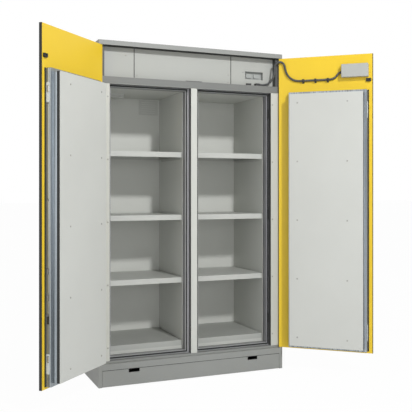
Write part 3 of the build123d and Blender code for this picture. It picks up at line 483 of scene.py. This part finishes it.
HEAD_R = SCREW_R * np.array([0, 0.08, 0.18, 0.28, 0.38, 0.48, 0.58, 0.70, 0.82, 0.93, 1.0, 1.0, 0.5, 0])
HEAD_H = SCREW_H * np.array([1, 1, 0.99, 0.98, 0.96, 0.94, 0.91, 0.85, 0.74, 0.57, 0.3, 0.0, 0.0, 0])


def screw_heads(name, centres, u, n, body, node):
    """Domed heads with a cross recess, standing on the face whose normal is n."""
    v = np.cross(n, u)
    turn = math.radians(18)
    u, v = math.cos(turn) * u + math.sin(turn) * v, math.cos(turn) * v - math.sin(turn) * u
    points, faces = turned(HEAD_R, HEAD_H, 40, centres, u, v, n, cross_recess)
    heads = piece(name, points, faces, body, FINISHES["bright_steel"])
    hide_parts(node)


front = np.array([0.0, -1.0, 0.0])
strip = [(s * 0.537, BODY_FRONT, z) for s in (-1, 1) for z in SCREW_ROWS]
head = [(x, FASCIA, LEDGE + rise) for x, rise in
        ((-0.420, 0.136), (-0.352, 0.020), (0.244, 0.064), (0.244, 0.016), (0.346, 0.086))]
screw_heads("frame_screw_heads", strip + head, np.array([1.0, 0, 0]), front, "cabinet", "frame_screws")
for name in OPENED:
    _, along, inward = door_axes(name)
    centres = [on_door(name, x, PANEL_FACE, z) for x in (0.129, 0.440) for z in SCREW_ROWS]
    screw_heads(f"{name}_door_screw_heads", centres, along, inward, f"{name}_door", f"{name}_door_screws")

# ---- nuts where the conduit enters the housing and leaves the head -----------------------------
NUT_FLAT, NUT_CORNER = 0.0090, 0.0101          # half the width over flats, and the rounded corners
NUT_BORE, NUT_LENGTH = 0.0074, 0.0110


def union_nut(name, at, axis, body):
    """A six-sided nut with a round collar.

    Near the base the radius is the flat's distance over the cosine of the angle from the middle of
    the flat, cut off at the corners, and at the collar it is constant.
    """
    axis = np.asarray(axis, float)
    side = np.cross(Z, axis)
    angle = np.linspace(0, 2 * math.pi, 48, endpoint=False)
    fold = (angle + math.pi / 6) % (math.pi / 3) - math.pi / 6
    hexagon = np.minimum(NUT_FLAT / np.cos(fold), NUT_CORNER)
    outward = np.cos(angle)[:, None] * side + np.sin(angle)[:, None] * Z
    profile = [(NUT_BORE, 0.0), (hexagon, 0.0), (hexagon, 0.0065), (0.0088, 0.0072), (0.0086, 0.0105),
               (NUT_BORE, NUT_LENGTH)]
    rings = [np.asarray(at) + np.broadcast_to(radius, angle.shape)[:, None] * outward + height * axis
             for radius, height in profile]
    last = (len(profile) - 1) * 48
    j = np.arange(48)
    close = np.stack([last + j, last + (j + 1) % 48, (j + 1) % 48, j], -1)
    faces = np.vstack([quads(len(profile), 48, True), close])
    piece(name, np.vstack(rings), faces, body, FINISHES["black_plastic"], smooth=False)


_, along, _ = door_axes("right")
union_nut("housing_nut", on_door("right", BOX_X, CABLE_DEP, RUN_Z + BOX_RISE), -along, "right_door")
union_nut("head_nut", (0.4441, CABLE_Y, CABLE_Z), (1.0, 0, 0), "cabinet")

# ---- face plates round the latch bolts ---------------------------------------------------------
PLATE_W, PLATE_H, PLATE_T, PLATE_EDGE = 0.0102, 0.0510, 0.0012, 0.0006
HOLE_W, HOLE_H, HOLE_EDGE = 0.0076, 0.0170, 0.0002
PLATE_PLACES = {"lower": (0.290, -0.024), "upper": (1.650, -0.016)}     # the bolt's height, the plate's shift


def face_plate(name, door, z, shift):
    """A thin plate with rounded ends and an oblong hole on the leaf's free edge.

    Outline and hole are superellipses of power 8 and 12 about their own middles, with half widths
    and half heights. Four loops, outer and inner on both faces, are joined in a closed ring.
    """
    _, along, inward = door_axes(door)
    angle = np.linspace(0, 2 * math.pi, 96, endpoint=False)
    c, s = np.cos(angle), np.sin(angle)

    def loop(half_width, half_height, power, lift, thick):
        grow = (np.abs(c) ** power + np.abs(s) ** power) ** (-1 / power)
        at = on_door(door, LEAF_EDGE + thick, LEAF_EDGE_MID, z + lift)
        return at + (half_width * c * grow)[:, None] * inward + (half_height * s * grow)[:, None] * Z

    loops = [loop(PLATE_W, PLATE_H, 8, shift, 0.0),
             loop(PLATE_W - PLATE_EDGE, PLATE_H - PLATE_EDGE, 8, shift, PLATE_T),
             loop(HOLE_W + HOLE_EDGE, HOLE_H + HOLE_EDGE, 12, 0, PLATE_T),
             loop(HOLE_W, HOLE_H, 12, 0, 0.0)]
    k = np.arange(96)
    after = (k + 1) % 96
    faces = np.vstack([np.stack([a + k, a + after, b + after, b + k], -1)
                       for a, b in ((0, 96), (96, 192), (192, 288), (288, 0))])
    if door == "right":
        faces = faces[:, ::-1]
    piece(name, np.vstack(loops), faces, f"{door}_door", FINISHES["plate_steel"],
          smooth=False)


for name in OPENED:
    for place, (z, shift) in PLATE_PLACES.items():
        face_plate(f"{name}_{place}_face_plate", name, z, shift)

# ---- seal strips, joint strips and strips of painted shade -------------------------------------
def strip_of(name, origin, u, v, n, size, body):
    """A long dark strip with rounded long edges, a rubber seal or a sheet of painted shade; size is its
    width, length and thickness.

    Its cross-section is half of a flattened oval: point = origin + across * u + along * v +
    thickness * (1 - |2 across / width - 1| ** 6) * n, and it closes on its flat back.
    """
    width, length, thick = size
    across = width * (0.5 - 0.5 * np.cos(np.linspace(0, math.pi, 9)))
    rise = thick * (1 - np.abs(2 * across / width - 1) ** 6)
    front = across[:, None] * u + rise[:, None] * n
    back = across[-2:0:-1, None] * u
    section = np.vstack([front, back])
    rows = np.linspace(0, length, max(2, int(max(length, 0.05) / 0.05)))
    points = (np.asarray(origin) + section[None] + rows[:, None, None] * v).reshape(-1, 3)
    k = len(section)
    faces = quads(len(rows), k, True).tolist()
    faces += [list(range(k))[::-1], list(range((len(rows) - 1) * k, len(rows) * k))]
    if np.dot(np.cross(u, v), n) < 0:
        faces = [f[::-1] for f in faces]
    piece(name, points, faces, body, FINISHES["seal_dark"], smooth=False)


for name in OPENED:
    _, along, inward = door_axes(name)
    strip_of(f"{name}_edge_gasket", on_door(name, 0.5550, SHEET_IN - 0.0002, 0.150), along, Z, inward,
             (0.0065, 1.608, 0.0045), f"{name}_door")
# Dark strips on the hinge-side folds stand for the shadow of the hinge gaps: painted shade, no real seal.
for name, x in (("left", -0.5932), ("right", 0.5812)):
    strip_of(f"{name}_hinge_gap_painted_shade", (x, BODY_FRONT, 0.140), X, Z, -Y, (0.012, 1.664, 0.0035), "cabinet")
for k, x in enumerate((-0.368, 0.262)):
    strip_of(f"fascia_joint_{k + 1}", (x - 0.0025, FASCIA + 0.0004, LEDGE + 0.0005), X, Z, -Y,
             (0.0050, 0.1782, 0.0014), "cabinet")
# A dark sheet over the cornice's underside stands for the shadow under it: painted shade.
strip_of("cornice_underside_painted_shade", (-0.570, -0.3062, 1.9829), Y, X, -Z, (0.057, 1.140, 0.0009), "cabinet")
strip_of("plinth_joint", (-0.574, -0.3073, 0.0952), Z, X, -Y, (0.0027, 1.148, 0.0008), "cabinet")

# ---- stage, light and camera ------------------------------------------------------------------
FLOOR_REACH = 60
FLOOR_WHITE = 0.975                            # how far the floor shows as plain white

scene = bpy.context.scene
scene.view_settings.view_transform = "Standard"

floor_mesh = bpy.data.meshes.new("floor")
corners = ((-1, -1), (1, -1), (1, 1), (-1, 1))
floor_mesh.from_pydata([(FLOOR_REACH * a, FLOOR_REACH * b, 0) for a, b in corners], [], [(0, 1, 2, 3)])
floor = bpy.data.objects.new("floor", floor_mesh)
scene.collection.objects.link(floor)
floor_mesh.materials.append(bpy.data.materials.new("pale_floor"))
paving = Studio(floor_mesh.materials[0])
position = paving.node("ShaderNodeNewGeometry", out="Position")
x, y = (paving.node("ShaderNodeSeparateXYZ", None, {"Vector": position}, axis) for axis in "XY")
clear = x.beyond(FOOT_X).larger(y.beyond(FOOT_Y))
paving.finish("ShaderNodeOutputMaterial", paving.looked_at() * FLOOR_WHITE * clear,
              paving.node("ShaderNodeBsdfDiffuse", None, {"Color": (0.85, 0.85, 0.85, 1)}),
              paving.node("ShaderNodeEmission"))

scene.world = bpy.data.worlds.new("studio")
sky = Studio(scene.world)
sky.finish("ShaderNodeOutputWorld", sky.looked_at(),
           sky.node("ShaderNodeBackground", None, {"Color": (0.98, 0.99, 1.0, 1), "Strength": 0.42}),
           sky.node("ShaderNodeBackground", None, {"Color": (1, 1, 1, 1)}))


def lamp(name, at, target, width, power):
    """A square soft light aimed at a point."""
    data = bpy.data.lights.new(name, "AREA")
    data.shape = "SQUARE"
    data.size = width
    data.energy = power
    obj = bpy.data.objects.new(name, data)
    obj.location = at
    obj.rotation_euler = (Vector(target) - Vector(at)).to_track_quat("-Z", "Y").to_euler()
    scene.collection.objects.link(obj)


lamp("key", (0.6, -5.2, 4.1), (0.0, -0.2, 1.0), 0.35, 185)
lamp("front_fill", (-0.8, -7.0, 1.3), (0.0, 0.0, 1.0), 2.5, 55)
lamp("left_fill", (-5.0, -3.0, 2.0), (0.0, 0.0, 1.0), 2.5, 28)

camera_data = bpy.data.cameras.new("camera")
camera_data.sensor_width = 36
camera_data.lens = 62.23
camera_data.shift_x = -0.0343
camera_data.shift_y = -0.0392
camera = bpy.data.objects.new("camera", camera_data)
camera.location = (-1.566494, -4.348048, 1.142707)
camera.rotation_euler = (math.radians(90), 0, -math.radians(23.178))
scene.collection.objects.link(camera)
scene.camera = camera
